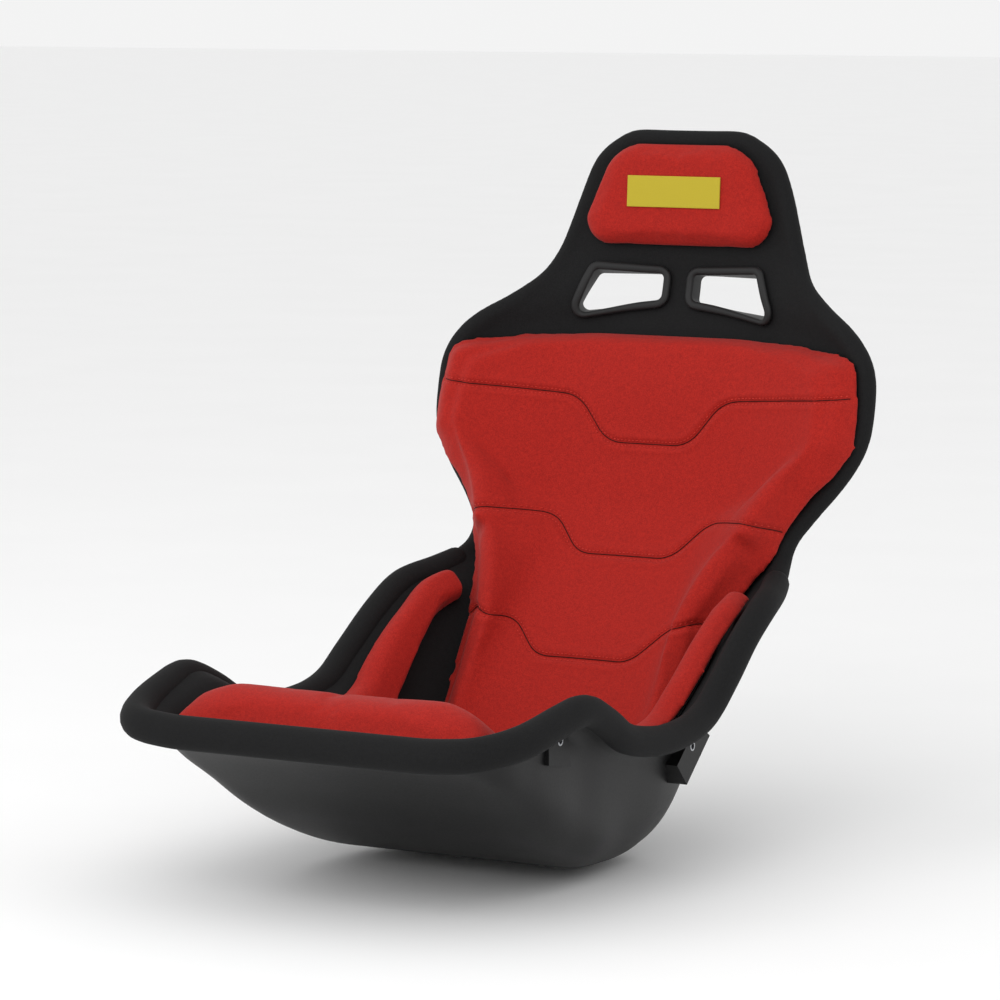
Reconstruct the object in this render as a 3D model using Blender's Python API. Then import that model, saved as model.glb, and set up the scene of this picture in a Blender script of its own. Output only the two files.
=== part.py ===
"""Bucket racing seat: moulded shell, foam lining, padded edge, loose cushions, belt slots and side mounts.

The seat faces -Y, +Z is up, and the origin is the midpoint of the four side mounting bolts. Every piece
follows one sheet, the middle of the shell's wall. A place on the sheet is a station number, which runs from
the front lip up to the top of the head, and a share across, from -1 on the right edge to +1 on the left.
"""

import math
from functools import lru_cache

import bmesh
import bpy
import numpy as np
from mathutils import Matrix, Vector

# Driving sizes, in metres
SHOULDER_WIDTH = 0.540  # across the edge at its widest
BACK_HEIGHT = 0.587  # from the bolts' midpoint up to the middle of the top edge, less the lip's height
SHELL_WALL = 0.004
LINING = 0.007
GAP = 0.0003
TAPE = 0.0022

BOLT_PITCH = 0.295
BOLT_TILT = math.radians(9.4)  # the front bolts are higher
BOSS_HEIGHT = 0.00366  # from the widest wall under a boss out to the mounting face
INSERT_RADIUS = 0.0052
INSERT_BORE = 0.0034
INSERT_LENGTH = 0.0065
# (Y, Z) of each boss's corners from its bolt
FRONT_BOSS = ((-0.0245, 0.0085), (0.0150, 0.0058), (0.0220, -0.0300), (-0.0245, -0.0220))
REAR_BOSS = ((-0.0355, -0.0160), (0.0110, 0.0240), (0.0400, 0.0060), (-0.0130, -0.0400))
BOSS_REACH = 0.012  # how far in from the wall's outer face a boss is cut away

# (X, Z) of the corners of the left belt slot's bezel
SLOT = ((0.010, 0.464), (0.112, 0.465), (0.146, 0.397), (0.0105, 0.415))
SLOT_STEPS = 3  # edges that each rounded corner is made of
SLOT_CORNER = 0.0165  # outer corner radius of a belt slot's bezel
SLOT_RING = 0.0095  # width of the bezel around the opening
SLOT_TUBE = 0.0025  # wall of the bezel's tube, which lines the hole
SLOT_HEIGHT = 0.0075  # of the bezel above the lining
SLOT_PLAY = 0.0016  # around the bezel's tube, and between its flange or the retainer and what they clamp
RETAINER = 0.0020  # thickness of the ring behind the shell

ROLL_FRONT = 0.0180  # radius of the padded edge at the front lip
ROLL_SIDE = 0.0160
ROLL_BACK = 0.0120
ROLL_SLOT_PLAY = 0.0008

COVER = 0.0016
BACK_PAD = 0.024
BASE_PAD = 0.026
HEAD_PAD = 0.018
HIP_PAD = 0.024
THIGH_PAD = 0.060
BACK_BOLSTER = (0.018, 0.024, 0.034, 0.036, 0.020)  # the backrest's sides' extra thickness, from its top down
FOAM_EDGE = 0.0008  # thickness of a foam core at its outline
FOAM_PLAY = 0.0030  # between a cover and its core
TAPE_WIDTH = 0.020

# Offsets from the middle of the shell's wall, towards the occupant
SHELL_FACE = SHELL_WALL / 2
LINING_BACK = SHELL_FACE + GAP
LINING_FACE = LINING_BACK + LINING
TAPE_BACK = LINING_FACE + 0.0010
TAPE_FACE = TAPE_BACK + TAPE
PAD_BACK = TAPE_FACE + 0.0010
PATCH_BACK = PAD_BACK + HEAD_PAD + 0.0008
PATCH_FACE = PATCH_BACK + 0.0012

WIDE = SHOULDER_WIDTH / 0.540
TALL = BACK_HEIGHT / 0.587

# Station: edge (half width, Y, Z), middle (Y, Z), then the section's floor half width and the wall's top as
# shares of the edge's half width, and the wall's height as a share of the section's depth
STATIONS = (
    (0.152, -0.310, 0.027, -0.310, 0.027, 0.60, 0.80, 0.50),  # front lip
    (0.202, -0.300, 0.031, -0.290, 0.016, 0.78, 0.90, 0.60),
    (0.229, -0.255, 0.039, -0.240, -0.010, 0.84, 0.89, 0.75),
    (0.239, -0.195, 0.053, -0.185, -0.045, 0.84, 0.87, 0.87),
    (0.243, -0.150, 0.059, -0.130, -0.084, 0.83, 0.85, 0.91),  # thigh peak
    (0.241, -0.100, 0.039, -0.075, -0.113, 0.81, 0.85, 0.91),
    (0.239, -0.050, 0.014, -0.010, -0.136, 0.78, 0.86, 0.90),
    (0.239, 0.035, 0.002, 0.060, -0.148, 0.70, 0.86, 0.90),  # lowest of the side
    (0.238, 0.115, 0.012, 0.130, -0.150, 0.67, 0.87, 0.90),
    (0.237, 0.170, 0.046, 0.186, -0.135, 0.65, 0.88, 0.90),
    (0.234, 0.222, 0.083, 0.236, -0.083, 0.64, 0.89, 0.88),
    (0.230, 0.274, 0.110, 0.286, -0.025, 0.62, 0.89, 0.84),  # hip corner
    (0.216, 0.328, 0.121, 0.336, 0.034, 0.58, 0.87, 0.75),
    (0.199, 0.378, 0.137, 0.388, 0.090, 0.56, 0.86, 0.70),
    (0.196, 0.402, 0.168, 0.423, 0.132, 0.50, 0.84, 0.60),  # waist
    (0.218, 0.418, 0.203, 0.450, 0.176, 0.58, 0.88, 0.55),
    (0.247, 0.428, 0.240, 0.466, 0.222, 0.50, 0.85, 0.50),
    (0.267, 0.436, 0.277, 0.477, 0.268, 0.45, 0.80, 0.50),
    (0.271, 0.446, 0.320, 0.487, 0.321, 0.45, 0.80, 0.50),  # shoulder
    (0.266, 0.454, 0.361, 0.500, 0.363, 0.45, 0.80, 0.50),
    (0.241, 0.464, 0.393, 0.512, 0.397, 0.45, 0.80, 0.50),
    (0.201, 0.483, 0.418, 0.520, 0.425, 0.35, 0.75, 0.55),
    (0.166, 0.502, 0.445, 0.526, 0.450, 0.20, 0.70, 0.60),
    (0.149, 0.518, 0.475, 0.529, 0.477, 0.20, 0.70, 0.60),  # neck
    (0.137, 0.526, 0.509, 0.531, 0.509, 0.30, 0.75, 0.55),
    (0.124, 0.533, 0.549, 0.533, 0.547, 0.45, 0.80, 0.50),
    (0.107, 0.536, 0.586, 0.535, 0.583, 0.45, 0.80, 0.50),
    (0.070, 0.537, 0.611, 0.536, 0.610, 0.45, 0.80, 0.50),  # top of the head
)
LIP, PEAK, HIP, WAIST, SHOULDER, CROWN = 0, 4, 11, 14, 18, len(STATIONS) - 1
LIP_HEIGHT = STATIONS[LIP][2]


def raised(z):
    """A height at the driving size: what is above the lip stretches with the back."""
    return z + max(z - LIP_HEIGHT, 0.0) * (TALL - 1)


def placed_stations():
    """The table at the driving sizes: widths stretch with the shoulders, heights with the back."""
    table = np.array(STATIONS)
    table[:, 0] *= WIDE
    for height in (2, 4):
        table[:, height] = [raised(z) for z in table[:, height]]
    return table


TABLE = placed_stations()


def station(t):
    """The table's row at any station number, on a smooth curve through the stations."""
    t = min(max(t, 0.0), CROWN)
    i = min(int(t), CROWN - 1)
    s = t - i
    here, after = TABLE[i], TABLE[i + 1]
    before = TABLE[i - 1] if i > 0 else 2 * here - after
    beyond = TABLE[i + 2] if i + 2 <= CROWN else 2 * after - here
    return 0.5 * (
        2 * here
        + (after - before) * s
        + (2 * before - 5 * here + 4 * after - beyond) * s**2
        + (3 * here - before - 3 * after + beyond) * s**3
    )


def rounded(corners, share, steps=12):
    """A polyline with each inner corner replaced by a curve that starts at this share of its shorter side."""
    points = [corners[0]]
    for before, corner, after in zip(corners, corners[1:], corners[2:]):
        reach = share * min(np.linalg.norm(corner - before), np.linalg.norm(after - corner))
        start = corner + (before - corner) / np.linalg.norm(before - corner) * reach
        end = corner + (after - corner) / np.linalg.norm(after - corner) * reach
        for k in range(steps + 1):
            s = k / steps
            points.append((1 - s) ** 2 * start + 2 * s * (1 - s) * corner + s**2 * end)
    points.append(corners[-1])
    return np.array(points)


@lru_cache(maxsize=None)
def half_section(t):
    """The section's half at station t: distances along it, X and depth, then the way from its middle to its
    edge, and its middle."""
    half, edge_y, edge_z, middle_y, middle_z, floor, wall, top = station(t)
    across = np.array([0.0, edge_y - middle_y, edge_z - middle_z])
    depth = max(np.linalg.norm(across), 1e-6)
    corners = np.array([(0, 0), (floor * half, 0), (wall * half, top * depth), (half, depth)])
    line = rounded(corners, 0.40)
    along = np.concatenate([[0], np.cumsum(np.linalg.norm(np.diff(line, axis=0), axis=1))])
    return along, line[:, 0], line[:, 1], across / depth, np.array([0.0, middle_y, middle_z])


def half_length(t):
    return half_section(t)[0][-1]


def sheet(t, v):
    """The point of the shell's middle sheet at station t and share across v."""
    along, x, depth, way, middle = half_section(round(t, 6))
    at = abs(v) * along[-1]
    over = max(at - along[-1], 0.0)  # a place past the edge carries straight on
    slope = (x[-1] - x[-2], depth[-1] - depth[-2]) / (along[-1] - along[-2])
    point = middle + way * (np.interp(at, along, depth) + over * slope[1])
    point[0] = math.copysign(np.interp(at, along, x) + over * slope[0], v)
    return point


def normal(t, v):
    """The sheet's unit normal, towards the occupant."""
    dt, dv = 0.05, 0.02
    t = min(max(t, 1.2), CROWN - 1.0)  # at the corners rows and columns run the same way, so beside them
    v = min(max(v, dv - 1), 1 - dv)
    up = sheet(t + dt, v) - sheet(t - dt, v)
    across = sheet(t, v + dv) - sheet(t, v - dv)
    n = np.cross(across, up)
    return n / np.linalg.norm(n)


def place(t, v, offset):
    return sheet(t, v) + offset * normal(t, v)


def share_at(t, x):
    """The share across at which the section at station t is x from the middle plane."""
    along, xs = half_section(round(t, 6))[:2]
    over = max(abs(x) - xs[-1], 0.0) * (along[-1] - along[-2]) / (xs[-1] - xs[-2])
    return math.copysign((np.interp(abs(x), xs, along) + over) / along[-1], x)


class Track:
    """Distances along the sheet at one share across, between two stations."""

    def __init__(self, v, first, last, steps=240):
        self.t = np.linspace(first, last, steps + 1)
        points = np.array([sheet(t, v) for t in self.t])
        self.length = np.concatenate([[0], np.cumsum(np.linalg.norm(np.diff(points, axis=0), axis=1))])

    def station(self, distance):
        return float(np.interp(distance, self.length, self.t))

    @property
    def whole(self):
        return float(self.length[-1])


MIDDLE = Track(0.0, LIP, CROWN)


def station_at_height(z, x=0.0):
    """The station on the back where the sheet is at this height, x from the middle plane."""
    low, high = float(PEAK + 5), float(CROWN)
    while high - low > 1e-5:
        t = (low + high) / 2
        if sheet(t, share_at(t, x))[2] < z:
            low = t
        else:
            high = t
    return low


def roll_radius(t):
    spots = (2, PEAK, HIP - 2, WAIST)
    return float(np.interp(t, spots, (ROLL_FRONT, ROLL_SIDE, ROLL_SIDE, ROLL_BACK)))


def rim_path():
    """(station, share across) round the whole rim, from the middle of the lip up the left side."""
    left = [(float(LIP), v) for v in np.linspace(0, 1, 5)]
    left += [(t, 1.0) for t in np.linspace(LIP, 2, 6)[1:]]
    left += [(t, 1.0) for t in np.linspace(2, SHOULDER + 2, 25)[1:]]
    left += [(t, 1.0) for t in np.linspace(SHOULDER + 2, CROWN, 11)[1:]]
    left += [(float(CROWN), v) for v in np.linspace(1, 0, 5)[1:]]
    return left + [(t, -v) for t, v in reversed(left[1:-1])]


RIM = rim_path()
RIM_POINTS = np.array([sheet(t, v) for t, v in RIM])


def rim_distance(point):
    """The distance from a point to the rim."""
    starts = RIM_POINTS
    ways = np.roll(RIM_POINTS, -1, axis=0) - starts
    shares = np.clip(np.sum((point - starts) * ways, axis=1) / np.sum(ways * ways, axis=1), 0, 1)
    return float(np.min(np.linalg.norm(starts + shares[:, None] * ways - point, axis=1)))


@lru_cache(maxsize=None)
def share_inside(t, distance):
    """The largest share across at station t whose place is still this far from the rim."""
    low, high = 0.0, 1.0
    while high - low > 1e-4:
        v = (low + high) / 2
        if rim_distance(sheet(t, v)) < distance:
            high = v
        else:
            low = v
    return low


# Materials


def material(name, colour, roughness, metallic=0.0):
    made = bpy.data.materials.new(name)
    made.use_nodes = True
    shader = made.node_tree.nodes["Principled BSDF"]
    shader.inputs["Base Color"].default_value = (*colour, 1.0)
    shader.inputs["Roughness"].default_value = roughness
    shader.inputs["Metallic"].default_value = metallic
    made.diffuse_color = (*colour, 1.0)
    return made


# Solids


def linked(name, data, look):
    """The mesh as an object in the scene, smooth but for its edges."""
    if look:
        data.materials.append(look)
    data.shade_smooth()
    data.set_sharp_from_angle(angle=math.radians(40))
    made = bpy.data.objects.new(name, data)
    bpy.context.scene.collection.objects.link(made)
    return made


def mesh_object(name, points, faces, look):
    data = bpy.data.meshes.new(name)
    data.from_pydata([Vector(p) for p in points], [], faces)
    data.update()
    built = bmesh.new()
    built.from_mesh(data)
    if built.calc_volume(signed=True) < 0:
        bmesh.ops.reverse_faces(built, faces=built.faces)
    built.to_mesh(data)
    built.free()
    return linked(name, data, look)


def slab(name, front, back, look):
    """A closed solid between two grids of points with the same number of rows and columns. It is made of
    triangles, so that the faces of stacked layers stay parallel where the sheet twists."""
    rows, columns = len(front), len(front[0])
    points = [p for row in front for p in row] + [p for row in back for p in row]
    base = rows * columns
    faces = []
    for i in range(rows - 1):
        for j in range(columns - 1):
            a, b = i * columns + j, (i + 1) * columns + j
            faces += [(a, a + 1, b + 1), (a, b + 1, b)]
            faces += [(base + a, base + b + 1, base + a + 1), (base + a, base + b, base + b + 1)]
    rim = [j for j in range(columns)]
    rim += [i * columns + columns - 1 for i in range(1, rows)]
    rim += [(rows - 1) * columns + j for j in range(columns - 2, -1, -1)]
    rim += [i * columns for i in range(rows - 2, 0, -1)]
    for a, b in zip(rim, rim[1:] + rim[:1]):
        faces.append((b, a, base + a, base + b))
    return mesh_object(name, points, faces, look)


def sheet_slab(name, places, back, front, look):
    """A slab between two offsets of the sheet, over a grid of (station, share across)."""
    grids = [[[place(t, v, offset) for t, v in row] for row in places] for offset in (front, back)]
    return slab(name, grids[0], grids[1], look)


def swept(name, rings, look, closed=False):
    """A tube through rings of points, closed on itself or capped at its ends."""
    count, size = len(rings), len(rings[0])
    points = [p for ring in rings for p in ring]
    faces = []
    for i in range(count if closed else count - 1):
        a, b = i * size, (i + 1) % count * size
        for k in range(size):
            n = (k + 1) % size
            faces.append((a + k, a + n, b + n, b + k))
    if not closed:
        faces.append(tuple(reversed(range(size))))
        faces.append(tuple((count - 1) * size + k for k in range(size)))
    return mesh_object(name, points, faces, look)


def cylinder(name, centre, radius, length, look=None, sides=16):
    """A cylinder along X."""
    turn = Matrix.Translation(centre) @ Matrix.Rotation(math.pi / 2, 4, "Y")
    built = bmesh.new()
    bmesh.ops.create_cone(
        built, cap_ends=True, segments=sides, radius1=radius, radius2=radius, depth=length, matrix=turn
    )
    data = bpy.data.meshes.new(name)
    built.to_mesh(data)
    built.free()
    return linked(name, data, look)


def cutter(made):
    made.hide_render = True
    made.display_type = "WIRE"
    return made


def cut(made, tool):
    step = made.modifiers.new("cut " + tool.name, "BOOLEAN")
    step.operation = "DIFFERENCE"
    step.object = tool


# The shell and its lining share one grid, so that their faces stay parallel

COLUMNS = (0.26, 0.38, 0.49, 0.59, 0.69, 0.79, 0.87, 0.93, 1.0)  # closer together where the section bends
SHELL_EDGE = 0.002  # from the rim in to the shell's edge
EDGE_SPACE = 0.0060  # between the padded edge and the lining
LIP_BOW = 0.014  # how much further in the lining starts at the lip and the crown, whose ends bow towards it
LINING_JOINTS = (HIP - 0.5, SHOULDER + 1.2)  # stations where the lining's three sheets meet
LINING_ROWS = (12, 8, 6)
JOINT_GAP = 0.01  # half the gap at a joint, in stations


def columns_at(t, edges=()):
    """Shares across of the lining's columns, and one more on each side for each distance in from the edge."""
    reach = share_inside(round(t, 6), roll_radius(t) + EDGE_SPACE)
    shares = [-reach * share for share in reversed(COLUMNS)] + [0.0] + [reach * share for share in COLUMNS]
    for edge in edges:
        last = 1 - edge / half_length(t)
        shares = [-last, *shares, last]
    return shares


def lining_rows():
    """Stations of the rows of the lining's three sheets."""
    start = MIDDLE.station(ROLL_FRONT + LIP_BOW)
    end = MIDDLE.station(MIDDLE.whole - ROLL_BACK - LIP_BOW)
    ends = (start, *LINING_JOINTS, end)
    return [list(np.linspace(first, last, n + 1)) for first, last, n in zip(ends, ends[1:], LINING_ROWS)]


def shell_rows(edges):
    """Stations of the lining's rows and, for each distance in from the edge, one more at each end."""
    rows = []
    for part in lining_rows():
        rows += [t for t in part if not rows or t > rows[-1] + 1e-9]
    for edge in edges:
        rows = [MIDDLE.station(edge), *rows, MIDDLE.station(MIDDLE.whole - edge)]
    return rows


def shell_slab(name, edges, back, front, look):
    places = [[(t, v) for v in columns_at(t, edges)] for t in shell_rows(edges)]
    return sheet_slab(name, places, back, front, look)


def shell(looks, holes):
    made = shell_slab("shell", (SHELL_EDGE,), -SHELL_FACE, SHELL_FACE, looks["shell"])
    for hole in holes:
        cut(made, hole)


def linings(looks, slots):
    for name, rows in zip(("lining_pan", "lining_back", "lining_head"), lining_rows()):
        trimmed = list(rows)
        if name != "lining_pan":
            trimmed[0] += JOINT_GAP
        if name != "lining_head":
            trimmed[-1] -= JOINT_GAP
        places = [[(t, v) for v in columns_at(t)] for t in trimmed]
        made = sheet_slab(name, places, LINING_BACK, LINING_FACE, looks["lining"])
        if name == "lining_head":
            for slot in slots:
                cut(made, slot)


# The padded edge

ROLL_SIDES = 8
GROOVE_DEPTH = 0.0015  # how far the groove for the shell's edge runs on past that edge
FRONT_END = 1.6  # stations where the pieces of the edge meet
HEAD_START = SHOULDER + 2.2


def roll_ring(i):
    """The rim's point number i, the way the rim runs there, and the ring of the padded edge around it."""
    ahead = RIM_POINTS[(i + 1) % len(RIM)] - RIM_POINTS[i - 1]
    ahead /= np.linalg.norm(ahead)
    up = normal(*RIM[i])
    up -= ahead * (up @ ahead)
    up /= np.linalg.norm(up)
    out = np.cross(ahead, up)
    radius = roll_radius(RIM[i][0])
    turns = [2 * math.pi * (k + 0.5) / ROLL_SIDES for k in range(ROLL_SIDES)]
    ring = np.array([RIM_POINTS[i] + radius * (math.cos(a) * out + math.sin(a) * up) for a in turns])
    return ahead, ring


def edge_rolls(looks):
    """The padded edge in four pieces, parted at the rim points nearest to where they meet."""
    play = SHELL_FACE + ROLL_SLOT_PLAY
    edges = (SHELL_EDGE, SHELL_EDGE - GROOVE_DEPTH)
    groove = cutter(shell_slab("groove", edges, -play, play, None))
    left = [abs(t - FRONT_END) if v == 1 else CROWN for t, v in RIM]
    low = left.index(min(left))
    left = [abs(t - HEAD_START) if v == 1 else CROWN for t, v in RIM]
    high = left.index(min(left))
    count = len(RIM)
    spans = {
        "edge_left": (low, high),
        "edge_head": (high, count - high),
        "edge_right": (count - high, count - low),
        "edge_front": (count - low, count + low),
    }
    for name, (first, last) in spans.items():
        rings = []
        for i in range(first, last + 1):
            ahead, ring = roll_ring(i % count)
            trim = GAP if i == first else -GAP if i == last else 0.0
            rings.append(ring + trim * ahead)
        cut(swept(name, rings, looks["edge"]), groove)


# Cushions: a foam core in a fabric cover that is open at the back, against the lining


def bulge(distance, radius):
    """The height share of a rounded side at this distance from the outline."""
    near = min(max(distance / radius, 0.0), 1.0)
    return math.sqrt(1 - (1 - near) ** 2)


def spread(length, radius, count):
    """Distances from one side to the other, closer together on the two rounded sides."""
    side = [0, 0.3 * radius, radius]
    inner = list(np.linspace(radius, length - radius, count + 1))[1:-1]
    return side + inner + [length - d for d in reversed(side)]


def corner(distance, radius):
    """How far a rounded corner draws the outline in, at this distance from the end."""
    if distance >= radius:
        return 0.0
    return radius - math.sqrt(max(radius**2 - (radius - distance) ** 2, 0.0))


class Cushion:
    """A cushion on the sheet. The track gives a station for each distance along it, and across gives the
    share across for a station and a distance from its middle line. half_width and bolster, which is how much
    thicker the sides are, are functions of the share of the way along. An upright cushion rises everywhere in
    the direction that its middle does, and not square to the sheet."""

    def __init__(self, name, track, half_width, thick, side, corners, counts):
        self.name = name
        self.track = track
        self.half_width = half_width
        self.thick = thick
        self.side = side
        self.corners = corners
        self.counts = counts
        self.across = share_at
        self.bolster = lambda share: 0.0
        self.upright = False

    def thickness(self, along, share):
        """The thickness at a share of the way along and a share of the way from the middle to the outline."""
        rise = min(max((share - 0.25) / 0.55, 0.0), 1.0)
        return self.thick + self.bolster(along) * rise * rise * (3 - 2 * rise)

    def grid(self, inset, height):
        """Points drawn in by inset from the outline, at a height above the cushion's back that is a function
        of the thickness there and the share of it that the rounded sides leave."""
        length = self.track.whole - 2 * inset
        points = []
        for along in spread(length, self.side, self.counts[0]):
            end = min(along, length - along)
            share = (along + inset) / self.track.whole
            width = 2 * (self.half_width(share) - inset - corner(end, self.corners))
            t = self.track.station(along + inset)
            row = []
            for distance in spread(width, min(self.side, 0.45 * width), self.counts[1]):
                thick = self.thickness(share, abs(2 * distance / width - 1))
                left = bulge(min(distance, width - distance), self.side) * bulge(end, self.side)
                v = self.across(t, distance - width / 2)
                way = normal(t, 0.0) if self.upright else normal(t, v)
                row.append(place(t, v, PAD_BACK) + height(thick, left) * way)
            points.append(row)
        return points

    def build(self, looks):
        inner = COVER + FOAM_PLAY
        outside = self.grid(0.0, lambda thick, left: thick * left)
        inside = self.grid(COVER, lambda thick, left: (thick - COVER) * left)
        slab(self.name + "_cover", outside, inside, looks["cover"])
        core = self.grid(inner, lambda thick, left: max((thick - inner) * left, FOAM_EDGE))
        back = self.grid(inner, lambda thick, left: 0.0)
        slab(self.name + "_foam", core, back, looks["foam"])


def headrest():
    track = Track(0.0, station_at_height(raised(0.604)), station_at_height(raised(0.488)))

    def half_width(share):
        return WIDE * float(np.interp(share, (0, 0.74, 1), (0.080, 0.122, 0.120)))

    return Cushion("headrest", track, half_width, HEAD_PAD, 0.018, 0.030, (4, 6))


def backrest():
    track = Track(0.0, station_at_height(raised(0.382)), HIP - 1.6)

    def half_width(share):
        spots = (0, 0.13, 0.22, 0.32, 0.47, 0.63, 0.72, 0.88, 1)
        reaches = (0.280, 0.292, 0.292, 0.272, 0.221, 0.197, 0.186, 0.180, 0.172)
        return WIDE * float(np.interp(share, spots, reaches)) - ROLL_SIDE

    made = Cushion("backrest", track, half_width, BACK_PAD, 0.020, 0.024, (13, 7))
    made.bolster = lambda share: float(np.interp(share, (0, 0.22, 0.47, 0.75, 1), BACK_BOLSTER))
    return made


def base():
    track = Track(0.0, HIP - 2.6, PEAK)
    return Cushion("base", track, lambda share: 0.136 * WIDE, BASE_PAD, 0.016, 0.030, (6, 8))


def thigh():
    track = Track(0.0, MIDDLE.station(0.026), PEAK - 0.5)
    made = Cushion("thigh", track, lambda share: 0.168 * WIDE, THIGH_PAD, 0.034, 0.034, (2, 8))
    made.upright = True
    return made


def hip_middle(t):
    """How far down the wall from the rim a hip cushion's middle line is."""
    spots = (HIP - 4.2, HIP - 3.3, HIP - 1.6, HIP, HIP + 0.8)
    return float(np.interp(t, spots, (0.060, 0.0575, 0.045, 0.036, 0.034)))


def hip(side):
    """A cushion on one hip wall, narrow behind and wider and lower in front."""
    name = "hip_left" if side > 0 else "hip_right"
    track = Track(0.93, HIP + 0.8, HIP - 4.2)

    def half_width(share):
        return float(np.interp(share, (0, 0.25, 0.5, 0.8, 1), (0.016, 0.0175, 0.0235, 0.027, 0.024)))

    made = Cushion(name, track, half_width, HIP_PAD, 0.015, 0.009, (6, 2))
    made.across = lambda t, d: side * (1 - (hip_middle(t) + d) / half_length(t))
    return made


# What holds the cushions: pairs of hook-and-loop tape


def tape(name, stations, shares, looks):
    """A strip of tape between two stations and two shares across."""
    columns = np.linspace(shares[0], shares[1], 4)
    places = [[(t, v) for v in columns] for t in np.linspace(stations[0], stations[1], 3)]
    sheet_slab(name, places, TAPE_BACK, TAPE_FACE, looks["tape"])


def tapes(looks):
    half = TAPE_WIDTH / 2
    for name, height in (("tape_head", 0.552), ("tape_back_upper", 0.300), ("tape_back_lower", 0.240)):
        middle = raised(height)
        ends = (station_at_height(middle - half), station_at_height(middle + half))
        reach = share_at(station_at_height(middle), 0.050 * WIDE)
        tape(name, ends, (-reach, reach), looks)
    for name, along in (("tape_base", 6.5), ("tape_thigh", 2.2)):
        middle = float(np.interp(along, MIDDLE.t, MIDDLE.length))
        reach = share_at(along, 0.080 * WIDE)
        tape(name, (MIDDLE.station(middle - half), MIDDLE.station(middle + half)), (-reach, reach), looks)
    for name, side in (("tape_hip_left", 1), ("tape_hip_right", -1)):
        middle = hip_middle(HIP - 2)
        shares = [side * (1 - below / half_length(HIP - 2)) for below in (middle + half, middle - half)]
        tape(name, (HIP - 2.6, HIP - 1.2), shares, looks)


def patch(looks):
    """A plain woven patch across the headrest."""
    rows = []
    for z in np.linspace(0.534, 0.570, 5):
        row = []
        for x in np.linspace(-0.060, 0.060, 7) * WIDE:
            t = station_at_height(raised(z), x)
            row.append((t, share_at(t, x)))
        rows.append(row)
    sheet_slab("headrest_patch", rows, PATCH_BACK, PATCH_FACE, looks["patch"])


# The belt slots


def slot_outline(inset):
    """(X, Z) round the left belt slot, this far in from the bezel's outer edge."""
    corners = [np.array([x * WIDE, raised(z)]) for x, z in SLOT]
    points = []
    for i, here in enumerate(corners):
        to_last = corners[i - 1] - here
        to_next = corners[(i + 1) % len(corners)] - here
        to_last /= np.linalg.norm(to_last)
        to_next /= np.linalg.norm(to_next)
        inward = (to_last + to_next) / np.linalg.norm(to_last + to_next)
        half_angle = math.acos(max(-1.0, min(1.0, float(to_last @ to_next)))) / 2
        centre = here + inward * SLOT_CORNER / math.sin(half_angle)
        turn = math.pi / 2 - half_angle
        facing = math.atan2(-inward[1], -inward[0])
        for k in range(SLOT_STEPS + 1):
            angle = facing + turn * (1 - 2 * k / SLOT_STEPS)
            points.append(centre + (SLOT_CORNER - inset) * np.array([math.cos(angle), math.sin(angle)]))
    outline = []
    for i, here in enumerate(points):
        outline.append(here)
        if (i + 1) % (SLOT_STEPS + 1) == 0:
            side = points[(i + 1) % len(points)] - here
            outline += [here + side * share for share in (0.25, 0.5, 0.75)]
    return outline


def slot_ring(inset, offset, side):
    """The outline's points at an offset from the sheet."""
    ring = []
    for x, z in slot_outline(inset):
        t = station_at_height(z, x)
        ring.append(place(t, side * share_at(t, x), offset))
    return ring


def slot_cutter(name, side):
    inset = SLOT_RING - SLOT_TUBE - SLOT_PLAY
    rings = [slot_ring(inset, offset, side) for offset in (-3 * SHELL_WALL, LINING_FACE + LINING)]
    return cutter(swept(name, rings, None))


def slot_trim(name, profile, look, side):
    """A ring round a belt slot, with a profile of (inset, offset from the sheet)."""
    around = [slot_ring(inset, offset, side) for inset, offset in profile]
    rings = [[ring[k] for ring in around] for k in range(len(around[0]))]
    swept(name, rings, look, closed=True)


def slot_trims(looks):
    seat = LINING_FACE + SLOT_PLAY
    top = LINING_FACE + SLOT_HEIGHT
    back = -SHELL_FACE - SLOT_PLAY - RETAINER
    bezel = (
        (SLOT_RING, back),
        (SLOT_RING, top - 0.0035),
        (SLOT_RING - 0.0015, top - 0.0010),
        (SLOT_RING - 0.0045, top),
        (0.0020, top - 0.0015),
        (0.0, top - 0.0040),
        (0.0, seat),
        (SLOT_RING - SLOT_TUBE, seat),
        (SLOT_RING - SLOT_TUBE, back),
    )
    hole = SLOT_RING - SLOT_TUBE - SLOT_PLAY
    retainer = ((hole, back), (hole, back + RETAINER), (0.0, back + RETAINER), (0.0, back))
    for name, side in (("left", 1), ("right", -1)):
        slot_trim("slot_bezel_" + name, bezel, looks["bezel"], side)
        slot_trim("slot_retainer_" + name, retainer, looks["bezel"], side)


# The side mounts


def bolt(end):
    """(Y, Z) of a bolt: end is -1 for the front and +1 for the rear."""
    reach = end * BOLT_PITCH / 2
    return np.array([reach * math.cos(BOLT_TILT), -reach * math.sin(BOLT_TILT)])


def wall_x(spot, offset):
    """The X of the left wall, at this offset from the sheet, level with a (Y, Z)."""
    edge_y = TABLE[2:HIP, 1]
    at = np.array([float(np.interp(spot[0], edge_y, np.arange(2, HIP))), 0.85])
    step = 1e-3
    for _ in range(8):
        here = place(*at, offset)[1:]
        moved = [place(at[0] + step, at[1], offset)[1:], place(at[0], at[1] + step, offset)[1:]]
        slopes = (np.array(moved) - here) / step
        at += np.linalg.solve(slopes.T, spot - here)
    return place(*at, offset)[0]


def mount_face():
    """The X of the left mounting face, which stands clear of the wall at every corner of the bosses."""
    spots = [bolt(end) + np.array(spot) for end, boss in ((-1, FRONT_BOSS), (1, REAR_BOSS)) for spot in boss]
    return max(wall_x(spot, -SHELL_FACE) for spot in spots) + BOSS_HEIGHT


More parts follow.
